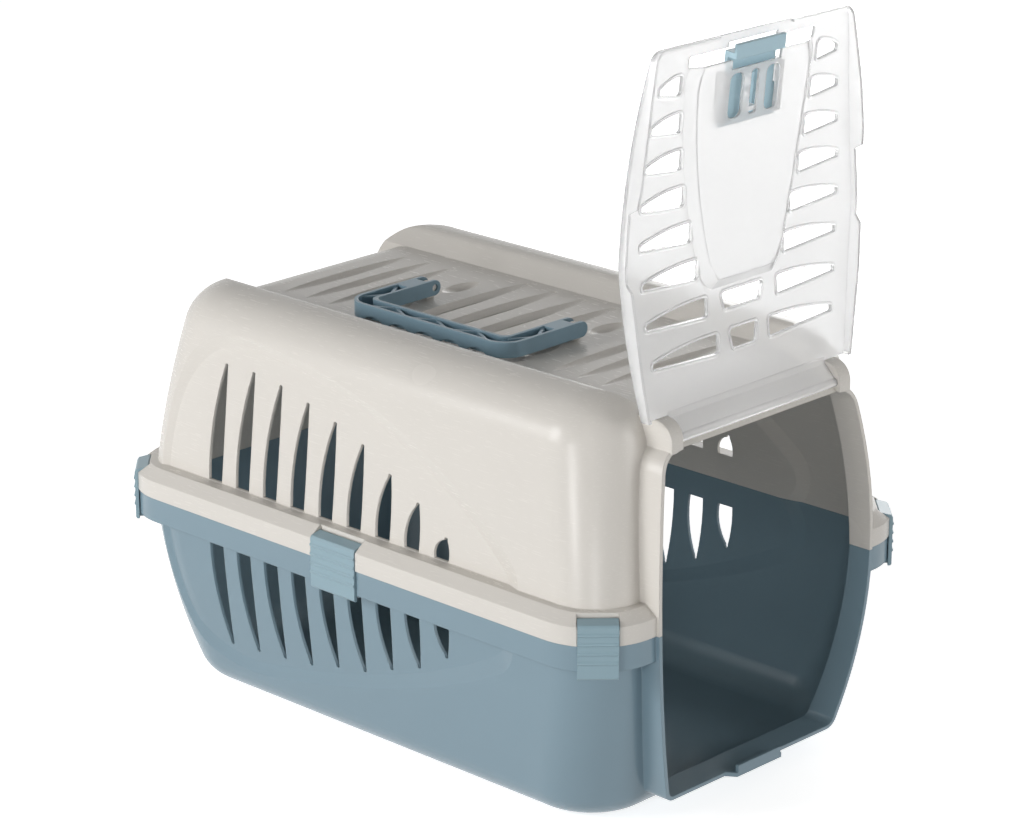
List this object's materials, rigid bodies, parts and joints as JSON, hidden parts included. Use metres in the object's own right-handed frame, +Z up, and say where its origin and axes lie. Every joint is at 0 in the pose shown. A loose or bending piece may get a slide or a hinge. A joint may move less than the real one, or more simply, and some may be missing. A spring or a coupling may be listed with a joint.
{
  "type": "cat carrier",
  "caption": "Cat carrier of vented plastic shells held by rim clips, with a folding top handle and a hinged front door, standing open, with a sprung latch.",
  "frame": {"origin": "centre of the flat base on the floor, on the left-right symmetry plane", "axes": "+X across the width, the door faces -Y, +Z up"},
  "size_m": [0.3328, 0.4824, 0.526],
  "materials": {
    "lid_plastic": "warm off-white, fine moulded grain",
    "tub_plastic": "grey-blue, fine moulded grain",
    "door_plastic": "glossy white, slightly translucent",
    "latch_plastic": "glossy pale cyan",
    "spring_plastic": "glossy white",
    "handle_plastic": "mid blue, satin",
    "clip_plastic": "light blue, satin"
  },
  "bodies": {
    "shell": {"tub": "tub_plastic", "lid": "lid_plastic"},
    "door": {"door": "door_plastic", "latch_spring": "spring_plastic"},
    "latch": {"latch_slider": "latch_plastic"},
    "handle": {"handle": "handle_plastic"},
    "clip_left_front": {"clip_left_front": "clip_plastic"},
    "clip_left_middle": {"clip_left_middle": "clip_plastic"},
    "clip_left_rear": {"clip_left_rear": "clip_plastic"},
    "clip_right_front": {"clip_right_front": "clip_plastic"},
    "clip_right_middle": {"clip_right_middle": "clip_plastic"},
    "clip_right_rear": {"clip_right_rear": "clip_plastic"}
  },
  "joints": [
    {"name": "door_hinge", "type": "hinge", "parent": "shell", "child": "door", "pos_m": [0, -0.229, 0.2705], "axis": [1, 0, 0], "range_deg": [0, 180]},
    {"name": "latch_slide", "type": "slide", "parent": "door", "child": "latch", "axis": [0, 0.1003, -0.995], "range_m": [0, 0.005], "stiffness_N_per_m": 300, "springref_m": -0.004, "deforming": ["latch_spring"]},
    {"name": "handle_fold", "type": "hinge", "parent": "shell", "child": "handle", "pos_m": [0, 0.007, 0.2915], "axis": [0, 1, 0], "range_deg": [0, 180]},
    {"name": "clip_left_front_hinge", "type": "hinge", "parent": "shell", "child": "clip_left_front", "pos_m": [-0.14428, -0.21928, 0.126], "axis": [0.7071, -0.7071, 0], "range_deg": [0, 110]},
    {"name": "clip_left_middle_hinge", "type": "hinge", "parent": "shell", "child": "clip_left_middle", "pos_m": [-0.156, 0.0063, 0.126], "axis": [0, -1, 0], "range_deg": [0, 110]},
    {"name": "clip_left_rear_hinge", "type": "hinge", "parent": "shell", "child": "clip_left_rear", "pos_m": [-0.14428, 0.21928, 0.126], "axis": [-0.7071, -0.7071, 0], "range_deg": [0, 110]},
    {"name": "clip_right_front_hinge", "type": "hinge", "parent": "shell", "child": "clip_right_front", "pos_m": [0.14428, -0.21928, 0.126], "axis": [0.7071, 0.7071, 0], "range_deg": [0, 110]},
    {"name": "clip_right_middle_hinge", "type": "hinge", "parent": "shell", "child": "clip_right_middle", "pos_m": [0.156, 0.0063, 0.126], "axis": [0, 1, 0], "range_deg": [0, 110]},
    {"name": "clip_right_rear_hinge", "type": "hinge", "parent": "shell", "child": "clip_right_rear", "pos_m": [0.14428, 0.21928, 0.126], "axis": [-0.7071, 0.7071, 0], "range_deg": [0, 110]}
  ]
}
